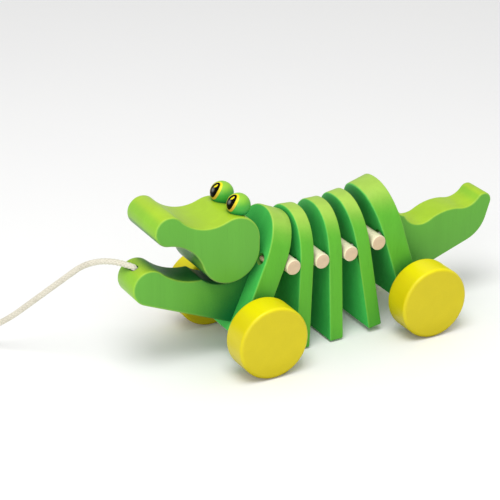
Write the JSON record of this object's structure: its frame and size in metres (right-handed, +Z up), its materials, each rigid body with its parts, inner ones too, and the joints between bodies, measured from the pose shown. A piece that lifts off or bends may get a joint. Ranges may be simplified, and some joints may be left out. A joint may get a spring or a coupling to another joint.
{
  "type": "pull along toy",
  "caption": "Wooden crocodile on wheels with a nodding head, thick ribs and a tail strung in a row on elastic cords, spacer dowels between the ribs and a pull cord.",
  "frame": {"origin": "on the floor in the middle plane, straight below the front axle", "axes": "-X towards the snout, +Y to the toy's right side, +Z up"},
  "size_m": [0.473, 0.1947, 0.1264],
  "materials": {
    "green_paint": "satin green lacquer with faint grain",
    "yellow_paint": "satin yellow lacquer",
    "bare_wood": "plain rubberwood with a clear satin coat",
    "elastic": "covered elastic cord",
    "cotton_cord": "braided cotton cord"
  },
  "bodies": {
    "front": {"front_rib": "green_paint", "lower_jaw": "green_paint", "jaw_dowels": "bare_wood", "neck_tongue": "bare_wood", "front_cord_pegs": "bare_wood", "front_elastic": "elastic", "cord_anchor": "cotton_cord"},
    "head": {"head": "green_paint", "left_eye": "green_paint", "right_eye": "green_paint", "eye_dowels": "bare_wood", "head_pivot_pin": "bare_wood"},
    "spacer_1": {"spacer_dowel_1": "bare_wood"},
    "spacer_2": {"spacer_dowel_2": "bare_wood"},
    "spacer_3": {"spacer_dowel_3": "bare_wood"},
    "spacer_4": {"spacer_dowel_4": "bare_wood"},
    "rib_1": {"middle_rib_1": "green_paint", "elastic_1": "elastic"},
    "rib_2": {"middle_rib_2": "green_paint", "elastic_2": "elastic"},
    "rib_3": {"middle_rib_3": "green_paint", "elastic_3": "elastic"},
    "rear": {"rear_rib": "green_paint", "tail": "green_paint", "tail_dowels": "bare_wood", "rear_cord_pegs": "bare_wood", "rear_elastic": "elastic"},
    "front_wheels": {"front_axle": "bare_wood", "front_left_wheel": "yellow_paint", "front_right_wheel": "yellow_paint"},
    "rear_wheels": {"rear_axle": "bare_wood", "rear_left_wheel": "yellow_paint", "rear_right_wheel": "yellow_paint"},
    "pull": {"pull_cord": "cotton_cord", "pull_bead": "yellow_paint"}
  },
  "joints": [
    {"name": "head_nod", "type": "hinge", "parent": "front", "child": "head", "pos_m": [-0.0152, 0, 0.0867], "axis": [0, 1, 0], "range_deg": [-21, 8]},
    {"name": "spine_1", "type": "hinge", "parent": "front", "child": "rib_1", "pos_m": [0.03237, 0, 0.06738], "axis": [0, 1, 0], "range_deg": [-1, 8]},
    {"name": "spacer_1_turn", "type": "hinge", "parent": "front", "child": "spacer_1", "pos_m": [0.03237, 0, 0.06738], "axis": [0, 1, 0], "range_deg": [-0.5, 4]},
    {"name": "spine_2", "type": "hinge", "parent": "rib_1", "child": "rib_2", "pos_m": [0.05647, 0, 0.06696], "axis": [0, 1, 0], "range_deg": [-6, 8]},
    {"name": "spacer_2_turn", "type": "hinge", "parent": "rib_1", "child": "spacer_2", "pos_m": [0.05647, 0, 0.06696], "axis": [0, 1, 0], "range_deg": [-3, 4]},
    {"name": "spine_3", "type": "hinge", "parent": "rib_2", "child": "rib_3", "pos_m": [0.08056, 0, 0.06759], "axis": [0, 1, 0], "range_deg": [-6, 8]},
    {"name": "spacer_3_turn", "type": "hinge", "parent": "rib_2", "child": "spacer_3", "pos_m": [0.08056, 0, 0.06759], "axis": [0, 1, 0], "range_deg": [-3, 4]},
    {"name": "spine_4", "type": "hinge", "parent": "rib_3", "child": "rear", "pos_m": [0.10436, 0, 0.07136], "axis": [0, 1, 0], "range_deg": [-6, 8]},
    {"name": "spacer_4_turn", "type": "hinge", "parent": "rib_3", "child": "spacer_4", "pos_m": [0.10436, 0, 0.07136], "axis": [0, 1, 0], "range_deg": [-3, 4]},
    {"name": "front_wheels_spin", "type": "hinge", "parent": "front", "child": "front_wheels", "pos_m": [0, 0, 0.0275], "axis": [0, 1, 0], "continuous": true},
    {"name": "rear_wheels_spin", "type": "hinge", "parent": "rear", "child": "rear_wheels", "pos_m": [0.1355, 0, 0.0275], "axis": [0, 1, 0], "continuous": true},
    {"name": "cord_lift", "type": "hinge", "parent": "front", "child": "pull", "pos_m": [-0.07999, 0, 0.08046], "axis": [0.7071, 0.7071, 0], "range_deg": [0, 20]}
  ],
  "couplings": [
    {"joint": "spacer_1_turn", "follows": "spine_1", "ratio": 0.5},
    {"joint": "spacer_2_turn", "follows": "spine_2", "ratio": 0.5},
    {"joint": "spacer_3_turn", "follows": "spine_3", "ratio": 0.5},
    {"joint": "spacer_4_turn", "follows": "spine_4", "ratio": 0.5}
  ]
}
